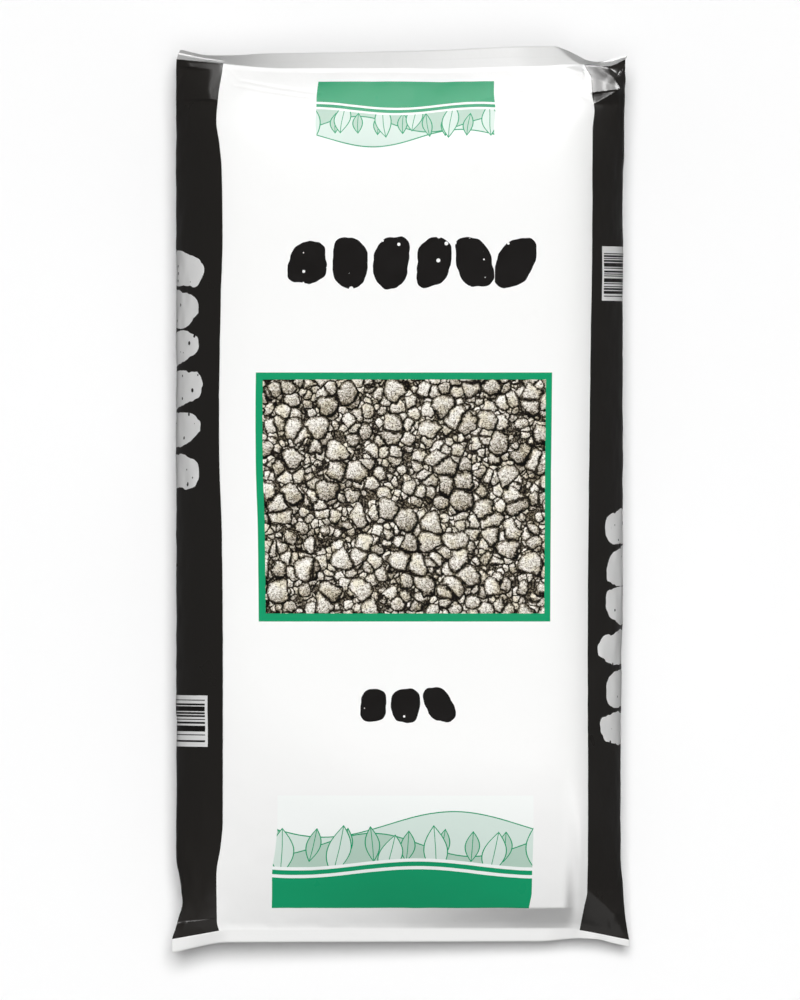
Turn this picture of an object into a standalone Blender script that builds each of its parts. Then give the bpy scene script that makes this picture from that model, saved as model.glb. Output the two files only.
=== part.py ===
"""A full film sack of pumice, lying on its back with its printed front up.

X runs across the sack, +Y points to its top seal, and +Z points up, out of the printed front.
The origin is on the floor under the middle of the sack."""

import math

import bmesh
import bpy
import numpy as np

# Sizes, in millimetres
FULL_HEIGHT = 154.0
CROWN = 6.0
LEFT_ROUND = 4.5
RIGHT_ROUND = 17.0
GUSSET_HEIGHT = 68.0
HEEL_HEIGHT = 5.0
TOP_FIN_FLARE = 3.0
FIN_THICKNESS = 1.6
FILM_WALL = 1.0
FILLING_GAP = 0.5
VENT_RADIUS = 3.0
VENT_SPOTS = ((-60.0, 372.0), (0.0, 372.0), (60.0, 372.0))

# Where the two seals lie along Y, and how far from them the ends are rounded, in millimetres
BOTTOM_SEAL_Y = -422.9
TOP_SEAL_Y = 423.7
BOTTOM_END = 115.0
TOP_END = 174.0
BACK_END = 95.0
TOP_BACK_END = 98.0
EAR_REACH = 50.0

# The sack's outline and its front creases: X at stations along Y
LEFT_EDGE = (
    (-423, -225.5), (-412, -221.0), (-395, -215.5), (-374, -218.1), (-352, -221.3),
    (350, -221.3), (420, -221.0), (434, -218.4),
)
LEFT_CREASE = (
    (-423, -178.2), (-414, -180.5), (-370, -181.0), (-339, -176.4), (-316, -174.5), (-138, -174.2),
    (-30, -175.3), (33, -177.5), (78, -178.0), (205, -176.0), (256, -174.5), (327, -175.5),
    (348, -177.5), (372, -180.8), (395, -179.0), (424, -174.0), (434, -173.1),
)
RIGHT_CREASE = (
    (-423, 175.8), (-399, 180.6), (-386, 183.2), (-328, 183.8), (-138, 183.5), (0, 184.5),
    (78, 185.5), (152, 186.3), (243, 187.9), (363, 188.4), (382, 190.2), (400, 187.6),
    (412, 187.0), (424, 180.0), (434, 179.0),
)
RIGHT_EDGE = (
    (-423, 225.5), (-407, 221.7), (-385, 219.5), (-355, 217.0), (-160, 217.6), (-100, 219.0),
    (290, 219.0), (340, 219.9), (403, 220.9), (425, 221.0), (434, 223.5),
)

# The lines across the ends: Y at stations along X
BOTTOM_SEAL = (
    (-225.5, -433.4), (-178.5, -424.9), (-168, -422.9), (162, -422.9), (176, -424.9), (224.5, -434.5),
)
BOTTOM_FIN = (
    (-224.3, -446.1), (-168, -436.3), (137, -435.8), (177, -432.9), (192, -433.5), (211, -437.9),
    (225.5, -441.1),
)
TOP_SEAL = (
    (-221, 432.0), (-173, 428.5), (-158, 426.6), (-115, 423.6), (0, 423.6), (33, 423.0),
    (98, 424.8), (143, 426.0), (158, 427.0), (179, 427.8), (193, 427.2), (204, 426.4), (224, 434.5),
)
TOP_FIN = (
    (-218, 443.3), (-187, 437.8), (-166, 437.8), (-134, 439.2), (-99, 439.5), (-29, 440.5),
    (39, 442.1), (98, 444.9), (132, 445.9), (149, 446.1), (165, 441.9), (176, 436.7),
    (185, 432.4), (193, 431.2), (202, 432.7), (224.3, 438.6),
)

# The seals' heights at stations along X, and how far up from the bottom seal the front goes on rising
BOTTOM_SEAL_HEIGHT = ((-225, 72), (-150, 68), (0, 57), (120, 47), (225, 42))
TOP_SEAL_HEIGHT = (
    (-218, 90), (-173, 102), (-115, 109), (0, 112), (98, 112), (150, 110), (176, 101), (193, 97), (224, 95),
)
BOTTOM_FIN_WIDTH = ((-225, 15), (225, 15))
TOP_FIN_WIDTH = (
    (-221, 36), (-163, 40), (-139, 37), (-99, 30), (-50, 26), (140, 26), (150, 27), (160, 31), (168, 35),
    (178, 35), (193, 28), (225, 27),
)
BOTTOM_REACH = ((-180, 215), (0, 165), (120, 122), (180, 118))

# How far out from the front crease the side film stays level before it turns down, at stations along Y
LEFT_SHELF = (
    (-423, 38), (-413, 33), (-406, 30), (-404.4, 0), (391, 0), (392.5, 9), (400, 12), (424, 13),
    (425.5, 33), (434, 38),
)
RIGHT_SHELF = (
    (-423, 29), (-405, 31), (-401, 25), (-393, 13), (-384, 0), (388.7, 0), (393, 12), (398, 23),
    (400, 28), (411, 30), (421, 17), (426, 16), (434, 20),
)
SHELF_FALL = 0.25

# Rows along the sack, from the bottom seal to the top one, with one at each end of the flat back
ROWS_Y = (
    BOTTOM_SEAL_Y, -417, -410, -402, -392, -380, -366, -350, BOTTOM_SEAL_Y + BACK_END, -308, -284, -250,
    -210, -165, -115, -60, -5, 50, 105, 160, 210, 255, 295, TOP_SEAL_Y - TOP_BACK_END, 350, 370, 387,
    401, 413, TOP_SEAL_Y,
)
SIDE_STEPS = 4
PANEL_STEPS = 12
HALF_RING = 2 * SIDE_STEPS + PANEL_STEPS
RING = 2 * HALF_RING
CAVITY_FIRST_ROW = 3
CAVITY_LAST_ROW = len(ROWS_Y) - 1


def curve(points, at):
    """A smooth curve through the points that never overshoots them, read at these places."""
    x, y = np.array(points, float).T
    gap = np.diff(x)
    slope = np.diff(y) / gap
    tangent = np.zeros(len(x))
    same_way = slope[:-1] * slope[1:] > 0
    weight_left = 2 * gap[1:] + gap[:-1]
    weight_right = gap[1:] + 2 * gap[:-1]
    left = np.where(same_way, slope[:-1], 1)
    right = np.where(same_way, slope[1:], 1)
    mean = (weight_left + weight_right) / (weight_left / left + weight_right / right)
    tangent[1:-1] = np.where(same_way, mean, 0)
    tangent[0], tangent[-1] = slope[0], slope[-1]
    at = np.clip(at, x[0], x[-1])
    i = np.clip(np.searchsorted(x, at) - 1, 0, len(x) - 2)
    t = (at - x[i]) / gap[i]
    start = (1 + 2 * t) * (1 - t) ** 2 * y[i] + t * (1 - t) ** 2 * gap[i] * tangent[i]
    end = t * t * (3 - 2 * t) * y[i + 1] + t * t * (t - 1) * gap[i] * tangent[i + 1]
    return start + end


def straight(points, at):
    """Straight lines through the points, read at these places, for a crisp fold."""
    x, y = np.array(points, float).T
    return np.interp(at, x, y)


def left_over(distance, reach, power):
    """1 at no distance, falling to 0 at the reach."""
    return np.clip(1 - distance / reach, 0, 1) ** power


def smooth_step(low, high, value):
    t = np.clip((value - low) / (high - low), 0, 1)
    return t * t * (3 - 2 * t)


def front_rise(up, x, dome):
    """How much of the full height the front has reached this far above the bottom seal, 0 to 1."""
    reach = curve(BOTTOM_REACH, x) + 10 * dome
    plain = 1 - left_over(up, reach, 2.2)
    knee = 21.0
    at_knee = 0.56
    folded = np.where(
        up < knee,
        at_knee * np.clip(up, 0, knee) / knee,
        at_knee + (1 - at_knee) * (1 - left_over(up - knee, reach - knee, 1.9)),
    )
    share = smooth_step(-40, 160, x) * (1 - smooth_step(161, 179, x))
    return plain + (folded - plain) * share


def across():
    """For each point of a row: how far out it is on its side panel, 0 to 1, and across the middle, -1 to 1."""
    side = np.linspace(1, 0, SIDE_STEPS + 1)
    middle = np.sin(np.linspace(-1, 1, PANEL_STEPS + 1) * math.radians(72)) / math.sin(math.radians(72))
    out = np.concatenate([side, np.zeros(PANEL_STEPS - 1), side[::-1]])
    over = np.concatenate([-np.ones(SIDE_STEPS), middle, np.ones(SIDE_STEPS)])
    return out, over


OUT, OVER = across()


def row_x(y):
    """X of one row's points from the left gusset crease to the right one."""
    left_edge, left_crease, right_crease, right_edge = (
        curve(line, np.array([y]))[0] for line in (LEFT_EDGE, LEFT_CREASE, RIGHT_CREASE, RIGHT_EDGE)
    )
    x = (left_crease + right_crease) / 2 + OVER * (right_crease - left_crease) / 2
    bend = 1 - (1 - OUT) ** 1.6
    return x + np.where(OVER < 0, left_edge - left_crease, right_edge - right_crease) * bend


def row_y(x, y):
    """Y of one row's points, pulled along with the seal near it."""
    below = (curve(BOTTOM_SEAL, x) - BOTTOM_SEAL_Y) * left_over(y - BOTTOM_SEAL_Y, EAR_REACH, 2)
    above = (curve(TOP_SEAL, x) - TOP_SEAL_Y) * left_over(TOP_SEAL_Y - y, EAR_REACH, 2)
    return y + below + above


def body_row(y):
    """One row round the full part of the sack."""
    x = row_x(y)
    up = y - BOTTOM_SEAL_Y
    down = TOP_SEAL_Y - y
    to_seal = np.clip((y - (TOP_SEAL_Y - TOP_END)) / TOP_END, 0, 1)
    low_seal = curve(BOTTOM_SEAL_HEIGHT, x)
    high_seal = curve(TOP_SEAL_HEIGHT, x)
    dome = 1 - np.abs(OVER) ** (2.4 + 2.0 * to_seal)

    shoulder = np.where(OVER < 0, LEFT_ROUND, RIGHT_ROUND)
    panel = FULL_HEIGHT - CROWN * (1 - dome) - shoulder * np.abs(OVER) ** 9
    panel = panel + (high_seal - panel) * to_seal**2.9
    panel = low_seal + (panel - low_seal) * front_rise(up, x, dome)

    gusset = GUSSET_HEIGHT + (low_seal - GUSSET_HEIGHT) * left_over(up, BOTTOM_END, 2.2)
    gusset = gusset + (high_seal - GUSSET_HEIGHT) * to_seal**3
    top = panel - side_fall(x, y, panel, gusset)

    heel, back = back_heights(up, down, low_seal, high_seal)
    rise = np.clip((np.abs(OVER) - 0.79) / 0.21, 0, 1) ** 2
    bottom = back + (heel - back) * rise + (gusset - heel) * OUT
    least = FIN_THICKNESS / 2 * (OUT < 1)
    middle = (top + bottom) / 2
    return ring(x, row_y(x, y), np.maximum(top, middle + least), np.minimum(bottom, middle - least))


def back_heights(up, down, low_seal, high_seal):
    """Heights of the back crease and of the back's middle, which rise to the seal at each end."""
    low_back = left_over(up, BACK_END, 1.8)
    low_heel = left_over(up, BACK_END + 15, 1.6)
    high_back = left_over(down, TOP_BACK_END, 1.8)
    high_heel = left_over(down, TOP_BACK_END + 10, 1.6)
    back = low_seal * low_back + high_seal * high_back
    heel = HEEL_HEIGHT + (low_seal - HEEL_HEIGHT) * low_heel + (high_seal - HEEL_HEIGHT) * high_heel
    return heel, back


def side_fall(x, y, panel, gusset):
    """How far the side film has dropped below the front crease, level out to its shelf and then steeper."""
    fall = np.zeros_like(x)
    for shelf_line, crease_at, edge_at, here in (
        (LEFT_SHELF, SIDE_STEPS, 0, slice(0, SIDE_STEPS)),
        (RIGHT_SHELF, HALF_RING - SIDE_STEPS, HALF_RING, slice(HALF_RING - SIDE_STEPS + 1, HALF_RING + 1)),
    ):
        crease, edge = x[crease_at], x[edge_at]
        width = abs(edge - crease)
        out = np.abs(x[here] - crease)
        shelf = min(straight(shelf_line, y), width * 0.88)
        whole = panel[crease_at] - gusset[edge_at]
        on_shelf = SHELF_FALL * whole / 70
        level = np.minimum(out, shelf) * on_shelf
        beyond = np.clip((out - shelf) / (width - shelf), 0, 1)
        rest = (whole - shelf * on_shelf) * (1 - (1 - beyond) ** 0.625)
        fall[here] = level + rest
    return fall


def flat_row(x, y, z):
    """One row of a fin, where front and back film are welded together."""
    half = FIN_THICKNESS / 2 * (OUT < 1)
    return ring(x, y, z + half, z - half)


def ring(x, y, top, bottom):
    """A closed row: its top from left to right, then its bottom from right to left."""
    over = np.stack([x, y, top], axis=1)
    under = np.stack([x, y, bottom], axis=1)
    return np.concatenate([over, under[-2:0:-1]])


def end_rows(seal_y, seal_line, height_line, edge_line, width_line, flare):
    """The row at a seal and the one at its fin's free edge, which hangs down where it's drawn back."""
    x = row_x(seal_y)
    y = curve(seal_line, x)
    z = curve(height_line, x)
    edge_y = curve(edge_line, x)
    width = curve(width_line, x)
    run = np.clip(np.abs(edge_y - y), 0, width)
    return [flat_row(x, y, z), flat_row(x + flare * OUT, edge_y, z - np.sqrt(width**2 - run**2))]


def all_rows():
    """The rows of the outside, from the bottom fin's edge to the top fin's edge."""
    body = [body_row(y) for y in ROWS_Y[1:-1]]
    bottom = end_rows(BOTTOM_SEAL_Y, BOTTOM_SEAL, BOTTOM_SEAL_HEIGHT, BOTTOM_FIN, BOTTOM_FIN_WIDTH, 0)
    top = end_rows(TOP_SEAL_Y, TOP_SEAL, TOP_SEAL_HEIGHT, TOP_FIN, TOP_FIN_WIDTH, TOP_FIN_FLARE)
    return bottom[::-1] + body + top


def tube_faces(rows):
    """The faces of a tube through the rows, with both ends closed."""
    faces = []
    for row in range(rows - 1):
        for j in range(RING):
            k = (j + 1) % RING
            faces.append((row * RING + j, row * RING + k, (row + 1) * RING + k, (row + 1) * RING + j))
    for row in (0, rows - 1):
        for j in range(HALF_RING):
            corners = [j, j + 1, RING - j - 1, (RING - j) % RING]
            face = [row * RING + corner for corner in corners]
            faces.append(tuple(dict.fromkeys(face)))
    return faces


def closed_mesh(name, points, faces):
    """A closed mesh with its faces out."""
    mesh = bpy.data.meshes.new(name)
    mesh.from_pydata([tuple(point) for point in points], [], faces)
    work = bmesh.new()
    work.from_mesh(mesh)
    bmesh.ops.recalc_face_normals(work, faces=work.faces)
    work.to_mesh(mesh)
    work.free()
    return mesh


def inset(mesh, distance):
    """The mesh's points moved in by this distance from each of their faces."""
    work = bmesh.new()
    work.from_mesh(mesh)
    work.normal_update()
    points = [v.co - v.normal * distance * min(v.calc_shell_factor(), 2.5) for v in work.verts]
    work.free()
    return np.array([tuple(point) for point in points])


def plastic(name, colour, roughness):
    material = bpy.data.materials.new(name)
    material.use_nodes = True
    shader = material.node_tree.nodes["Principled BSDF"]
    shader.inputs["Base Color"].default_value = (*colour, 1)
    shader.inputs["Roughness"].default_value = roughness
    return material


def add(name, mesh, material):
    mesh.name = name
    for polygon in mesh.polygons:
        polygon.use_smooth = True
    mesh.set_sharp_from_angle(angle=math.radians(30))
    piece = bpy.data.objects.new(name, mesh)
    piece.data.materials.append(material)
    bpy.context.scene.collection.objects.link(piece)
    return piece


def cut_vents(sack):
    """Breather holes through the back film near the top, where it leaves the floor."""
    for number, (x, y) in enumerate(VENT_SPOTS, 1):
        seal = curve(TOP_SEAL_HEIGHT, x)
        back = back_heights(y - BOTTOM_SEAL_Y, TOP_SEAL_Y - y, 0.0, seal)[1]
        bpy.ops.mesh.primitive_cylinder_add(
            vertices=12,
            radius=VENT_RADIUS / 1000,
            depth=0.016,
            location=(x / 1000, y / 1000, float(back) / 1000),
        )
        cutter = bpy.context.object
        cutter.name = f"vent_cutter_{number}"
        cutter.hide_render = True
        cutter.display_type = "WIRE"
        cut = sack.modifiers.new(f"vent_{number}", "BOOLEAN")
        cut.operation = "DIFFERENCE"
        cut.solver = "EXACT"
        cut.object = cutter


def main():
    for item in list(bpy.data.objects):
        bpy.data.objects.remove(item, do_unlink=True)

    rows = all_rows()
    outside = closed_mesh("outside", np.concatenate(rows) / 1000, tube_faces(len(rows)))
    kept = slice(CAVITY_FIRST_ROW * RING, (CAVITY_LAST_ROW + 1) * RING)
    inner_points = inset(outside, FILM_WALL / 1000)[kept]
    inner_faces = tube_faces(CAVITY_LAST_ROW + 1 - CAVITY_FIRST_ROW)
    inside = closed_mesh("inside", inner_points, inner_faces)

    work = bmesh.new()
    work.from_mesh(inside)
    bmesh.ops.reverse_faces(work, faces=work.faces)
    work.from_mesh(outside)
    shell = bpy.data.meshes.new("film_sack")
    work.to_mesh(shell)
    work.free()
    sack = add("film_sack", shell, plastic("film", (0.93, 0.93, 0.92), 0.35))
    cut_vents(sack)

    filling = closed_mesh("pumice_filling", inset(inside, FILLING_GAP / 1000), inner_faces)
    add("pumice_filling", filling, plastic("pumice", (0.62, 0.58, 0.52), 0.95))


main()
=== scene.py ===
"""The looks of a full film sack of pumice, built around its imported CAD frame.

X runs across the sack, +Y points to its top seal and +Z out of its printed front. Sizes and places are in
millimetres. The meshes and the camera are in metres."""

import math

import bmesh
import bpy
import numpy as np
from mathutils import Matrix
from mathutils.kdtree import KDTree


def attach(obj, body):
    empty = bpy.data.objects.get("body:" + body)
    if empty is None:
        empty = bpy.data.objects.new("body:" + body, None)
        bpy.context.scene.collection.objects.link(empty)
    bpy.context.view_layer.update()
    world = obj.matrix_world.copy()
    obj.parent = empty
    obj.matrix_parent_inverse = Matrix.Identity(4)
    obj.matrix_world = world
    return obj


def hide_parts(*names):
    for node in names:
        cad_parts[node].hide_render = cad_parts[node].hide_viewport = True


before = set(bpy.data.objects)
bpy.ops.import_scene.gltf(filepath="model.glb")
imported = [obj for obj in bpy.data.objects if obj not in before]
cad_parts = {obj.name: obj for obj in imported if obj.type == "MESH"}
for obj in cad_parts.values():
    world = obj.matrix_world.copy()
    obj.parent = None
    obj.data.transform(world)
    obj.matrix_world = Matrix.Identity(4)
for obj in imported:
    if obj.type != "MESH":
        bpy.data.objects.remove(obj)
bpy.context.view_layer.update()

# Sizes, in millimetres, as the solids have them
FULL_HEIGHT = 154.0
CROWN = 6.0
LEFT_ROUND = 4.5
RIGHT_ROUND = 17.0
GUSSET_HEIGHT = 68.0
HEEL_HEIGHT = 5.0
TOP_FIN_FLARE = 3.0
BOTTOM_SEAL_Y = -422.9
TOP_SEAL_Y = 423.7
BOTTOM_END = 115.0
TOP_END = 174.0
BACK_END = 95.0
TOP_BACK_END = 98.0
EAR_REACH = 50.0
VENT_RADIUS = 3.0
VENT_SPOTS = ((-60.0, 372.0), (0.0, 372.0), (60.0, 372.0))

# Two films welded together, thinner than in the solids
FIN_THICKNESS = 0.8

# How flat the front's dome is across the sack
DOME_POWER = 2.4

# The flat film that the print is placed on: half its front, how far round the side its outer edge is from
# either crease, and how far past each seal it runs
PANEL_HALF = 181.0
SIDE_ARC = 85.0
FIN_PLACE = 20.0

# The sack's outline and its front creases: X at stations along Y
LEFT_EDGE = (
    (-423, -225.5), (-412, -221.0), (-395, -215.5), (-374, -218.1), (-352, -221.3),
    (350, -221.3), (420, -221.0), (434, -218.4),
)
LEFT_CREASE = (
    (-423, -178.2), (-414, -180.5), (-370, -181.0), (-339, -176.4), (-316, -174.5), (-138, -174.2),
    (-30, -175.3), (33, -177.5), (78, -178.0), (205, -176.0), (256, -174.5), (327, -175.5),
    (348, -177.5), (372, -180.8), (395, -179.0), (424, -174.0), (434, -173.1),
)
RIGHT_CREASE = (
    (-423, 175.8), (-399, 180.6), (-386, 183.2), (-328, 183.8), (-138, 183.5), (0, 184.5),
    (78, 185.5), (152, 186.3), (243, 187.9), (363, 188.4), (382, 190.2), (400, 187.6),
    (412, 187.0), (424, 180.0), (434, 179.0),
)
RIGHT_EDGE = (
    (-423, 225.5), (-407, 221.7), (-385, 219.5), (-355, 217.0), (-160, 217.6), (-100, 219.0),
    (290, 219.0), (340, 219.9), (403, 220.9), (425, 221.0), (434, 223.5),
)

# The lines across the ends: Y at stations along X
BOTTOM_SEAL = (
    (-225.5, -433.4), (-178.5, -424.9), (-168, -422.9), (162, -422.9), (176, -424.9), (224.5, -434.5),
)
BOTTOM_FIN = (
    (-224.3, -446.1), (-168, -436.3), (137, -435.8), (177, -432.9), (192, -433.5), (211, -437.9),
    (225.5, -441.1),
)
TOP_SEAL = (
    (-221, 433.2), (-173, 428.5), (-158, 426.6), (-115, 423.6), (0, 423.6), (33, 423.0),
    (98, 424.8), (143, 426.0), (158, 427.0), (179, 427.8), (193, 427.2), (204, 426.4), (224, 434.5),
)
TOP_FIN = (
    (-218, 443.3), (-187, 437.8), (-166, 437.8), (-134, 439.2), (-99, 439.5), (-29, 440.5),
    (39, 442.1), (98, 444.9), (132, 445.9), (149, 446.1), (165, 441.9), (176, 436.7),
    (185, 432.4), (193, 431.2), (202, 432.7), (224.3, 438.6),
)

# The seals' heights and the fins' widths at stations along X
BOTTOM_SEAL_HEIGHT = ((-225, 72), (-150, 68), (0, 57), (120, 47), (225, 42))
TOP_SEAL_HEIGHT = (
    (-218, 90), (-173, 102), (-115, 109), (0, 112), (98, 112), (150, 110), (176, 101), (193, 97), (224, 95),
)
BOTTOM_FIN_WIDTH = (
    (-225, 14.2), (-168, 14.7), (120, 14.7), (150, 14.2), (168, 12), (177, 9.3), (192, 6.6), (211, 7),
    (225, 7.6),
)
TOP_FIN_WIDTH = (
    (-221, 41), (-163, 43), (-139, 38), (-99, 30), (-50, 26), (110, 26), (137, 30), (154, 30), (160, 33),
    (168, 37), (178, 36), (193, 28), (225, 27),
)

# Where the top fin's right end folds down: the share of the fin that lies before the fold, how wide that
# band is and how steep it can be
TOP_FOLD = ((154.9, 1.0), (178.6, 0.0), (195.0, 0.0), (196.0, 1.0))
NO_FOLD = ((-225, 1.0), (225, 1.0))
BAND_WIDTH = 30.0
BAND_SLOPE = 1.25

# How far up from the bottom seal the front goes on rising, at stations along X, and how much further in the
# middle of a row. Between the two fades it rises steeply to a knee, this far up and this share of the way
BOTTOM_REACH = ((-180, 262), (0, 170), (130, 160), (158, 160), (176, 132))
DOME_REACH = 10.0
KNEE = 21.0
KNEE_SHARE = 0.46
KNEE_FADES_IN = (-40, 160)
KNEE_FADES_OUT = (161, 173)

# A weld line lies level across each of the top fin's ears: how far out it starts and how wide it is,
# as shares of the fin
WELD_START = ((-221, 0.55), (-187, 0.38), (-174, 0.2), (190, 0.8), (225, 0.8))
WELD_WIDTH = ((-221, 0.12), (-175, 0.12), (-173, 0), (193, 0), (206, 0.2), (225, 0.2))
NO_WELD = ((-225, 0), (225, 0))

# The fine ribs that the sealing bar leaves on a fin: how wide their band is, how many there are and how high
RIB_BAND = 13.0
RIB_COUNT = 5
RIB_HEIGHT = 0.2

# How far out from the front crease the side film stays level before it turns down, at stations along Y
LEFT_SHELF = (
    (-423, 38), (-411.4, 32), (-410.9, 0), (391, 0), (392.5, 9), (400, 12), (417.5, 13),
    (418.6, 33), (424, 38),
)
RIGHT_SHELF = (
    (-423, 29), (-405, 31), (-401, 25), (-393, 13), (-384, 0), (388.7, 0), (393, 12), (398, 23),
    (400, 27), (404, 29.5), (411, 25), (421, 18), (424, 16),
)

# The shelf's fall per millimetre where the whole side drops by the usual amount, the most of the side that
# is shelf, and how the side rounds over beyond it
SHELF_FALL = 0.25
USUAL_DROP = 70.0
MOST_SHELF = 0.88
SIDE_ROUND = 0.625

# Flat facets where the film is crumpled at its top right corner: corners as X, Y and how far above the
# smooth film
FACETS = (
    ((157.9, 425.5, 0), (180.5, 419.2, 6.0), (178.6, 428.0, 0)),
    ((157.9, 425.5, 0), (180.5, 419.2, 6.0), (180.5, 410.0, 0)),
    ((180.0, 428.0, 0), (184.5, 416.3, 2.1), (203.0, 426.6, 0)),
    ((184.5, 416.3, 2.1), (218.5, 403.2, 3.7), (203.0, 426.6, 0)),
    ((184.5, 416.3, 2.1), (187.7, 399.5, 2.2), (218.5, 403.2, 3.7)),
    ((187.7, 399.5, 2.2), (187.9, 398.3, -3.4), (218.5, 403.2, 3.7)),
    ((187.9, 398.3, -3.4), (190.4, 388.7, 0), (215.0, 402.6, 2.8)),
    ((203.0, 426.6, 0), (224.0, 434.3, 0), (214.0, 416.0, -3.5)),
)

# Faint creases that run in from the top corners: points as X and Y
CREASES = (
    ((70, 390), (97, 398), (159, 410), (187, 396)),
    ((80, 386), (97, 393), (162, 405), (187, 392)),
    ((90, 374), (108, 376), (172, 390)),
    ((-171, 425), (-158, 412), (-121, 405), (-80, 399)),
    ((-172, 418), (-164, 407), (-130, 401), (-90, 395)),
    ((-175, 394), (-130, 373), (-114, 376), (-80, 370)),
)

# Points across the front and each side, and how strongly the front's crowd towards its creases, in degrees.
# Rows along the sack: spans of distances in from each seal, the rows between them, and the rows of each fin
FRONT_STEPS = 96
SIDE_STEPS = 34
FRONT_SPREAD = 70.0
LOW_ROWS = ((1.3, 10, 1.3), (10.1, 14, 0.5), (14.6, 52, 1.3), (54, 82, 3.0))
HIGH_ROWS = ((0.8, 34, 0.8), (34.4, 46, 1.2), (47, 85, 3.0))
MIDDLE_ROWS = 112
BOTTOM_FIN_ROWS = 10
TOP_FIN_ROWS = 20

# The back film: the share of its half width that lies flat, and how much further from the bottom and top
# seals its edges start to rise
BACK_FLAT = 0.78
LOW_HEEL_REACH = 15.0
HIGH_HEEL_REACH = 10.0

# The faint lumps and puckers of the film, as height, size and seed, and the depth and width of its creases
STONE_LUMPS = (0.22, 17.0, 5)
GRIT_LUMPS = (0.12, 9.0, 6)
PUCKER = (0.9, 13.0, 9)
CREASE_DEPTH = 0.4
CREASE_WIDTH = 1.3
VENT_DEPTH = 16.0

# The filling, inside the film: how far it ends from the bottom and top seals, how far it lies under the
# front and over the back, and how much narrower and shorter it is
HEAP_FROM_SEALS = (14.0, 16.0)
HEAP_GAP = 3.5
HEAP_NARROWER = 5 / 220
HEAP_SHORTER = 4 / 424

# The camera and the floor, in metres: how high the camera is, the height at which the frame's scale holds,
# the height of what the frame takes in, and half the floor
CAMERA_HEIGHT = 20.0
SCALE_LEVEL = 0.07
FRAME_HEIGHT = 0.985
SENSOR = 36.0
FLOOR_HALF = 40.0

# Soft sun lamps: name, strength, angle, tilt, turn, and whether each lights the surfaces and shines in them
LAMPS = (
    ("overhead", 2.4, 22, -12, 0.8, True, False),
    ("low overhead", 0.6, 28, 8, 0.8, True, False),
    ("window", 8.5, 40, -47, 2, False, True),
    ("corner", 13.0, 30, -44, 40, False, True),
    ("fill", 0.8, 60, 70, 0, False, True),
)
WORLD_LIGHT = 0.12


def curve(points, at):
    """A smooth curve through the points that never overshoots them, read at these places."""
    x, y = np.array(points, float).T
    gap = np.diff(x)
    slope = np.diff(y) / gap
    tangent = np.zeros(len(x))
    same_way = slope[:-1] * slope[1:] > 0
    weight_left = 2 * gap[1:] + gap[:-1]
    weight_right = gap[1:] + 2 * gap[:-1]
    left = np.where(same_way, slope[:-1], 1)
    right = np.where(same_way, slope[1:], 1)
    mean = (weight_left + weight_right) / (weight_left / left + weight_right / right)
    tangent[1:-1] = np.where(same_way, mean, 0)
    tangent[0], tangent[-1] = slope[0], slope[-1]
    at = np.clip(at, x[0], x[-1])
    i = np.clip(np.searchsorted(x, at) - 1, 0, len(x) - 2)
    t = (at - x[i]) / gap[i]
    start = (1 + 2 * t) * (1 - t) ** 2 * y[i] + t * (1 - t) ** 2 * gap[i] * tangent[i]
    end = t * t * (3 - 2 * t) * y[i + 1] + t * t * (t - 1) * gap[i] * tangent[i + 1]
    return start + end


def straight(points, at):
    """Straight lines through the points, read at these places, for a crisp fold."""
    x, y = np.array(points, float).T
    return np.interp(at, x, y)


def left_over(distance, reach, power):
    """1 at no distance, falling to 0 at the reach."""
    return np.clip(1 - distance / reach, 0, 1) ** power


def smooth_step(low, high, value):
    t = np.clip((value - low) / (high - low), 0, 1)
    return t * t * (3 - 2 * t)


def lumps(x, y, cell, seed):
    """Smooth random lumps of about this size, from -1 to 1."""
    table = np.random.default_rng(seed).uniform(-1, 1, (256, 256))
    gx, gy = x / cell, y / cell
    ix, iy = np.floor(gx).astype(int), np.floor(gy).astype(int)
    tx, ty = gx - ix, gy - iy
    tx, ty = tx * tx * (3 - 2 * tx), ty * ty * (3 - 2 * ty)
    near = table[ix % 256, iy % 256] * (1 - tx) + table[(ix + 1) % 256, iy % 256] * tx
    far = table[ix % 256, (iy + 1) % 256] * (1 - tx) + table[(ix + 1) % 256, (iy + 1) % 256] * tx
    return near * (1 - ty) + far * ty


def columns():
    """Out on the side panel, 0 to 1, and across the middle, -1 to 1, for each point of a row."""
    side = np.linspace(1, 0, SIDE_STEPS + 1)
    spread = math.radians(FRONT_SPREAD)
    middle = np.sin(np.linspace(-1, 1, FRONT_STEPS + 1) * spread) / math.sin(spread)
    out = np.concatenate([side, np.zeros(FRONT_STEPS - 1), side[::-1]])
    over = np.concatenate([-np.ones(SIDE_STEPS), middle, np.ones(SIDE_STEPS)])
    return out, over


def stations():
    """Rows along the full part, packed closer towards both ends."""
    low = BOTTOM_SEAL_Y + np.concatenate([np.arange(*span) for span in LOW_ROWS])
    high = TOP_SEAL_Y - np.concatenate([np.arange(*span) for span in HIGH_ROWS])[::-1]
    middle = np.linspace(low[-1], high[0], MIDDLE_ROWS)[1:-1]
    return np.concatenate([low, middle, high])


OUT, OVER = columns()
HALF_RING = len(OUT) - 1
RING = 2 * HALF_RING


def row_x(y):
    """X of the rows' points from the left gusset crease to the right one, one line of points for each y."""
    y = np.atleast_1d(y)[:, None]
    left_edge, left_crease, right_crease, right_edge = (
        curve(line, y) for line in (LEFT_EDGE, LEFT_CREASE, RIGHT_CREASE, RIGHT_EDGE)
    )
    x = (left_crease + right_crease) / 2 + OVER * (right_crease - left_crease) / 2
    bend = 1 - (1 - OUT) ** 1.6
    return x + np.where(OVER < 0, left_edge - left_crease, right_edge - right_crease) * bend


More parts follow.
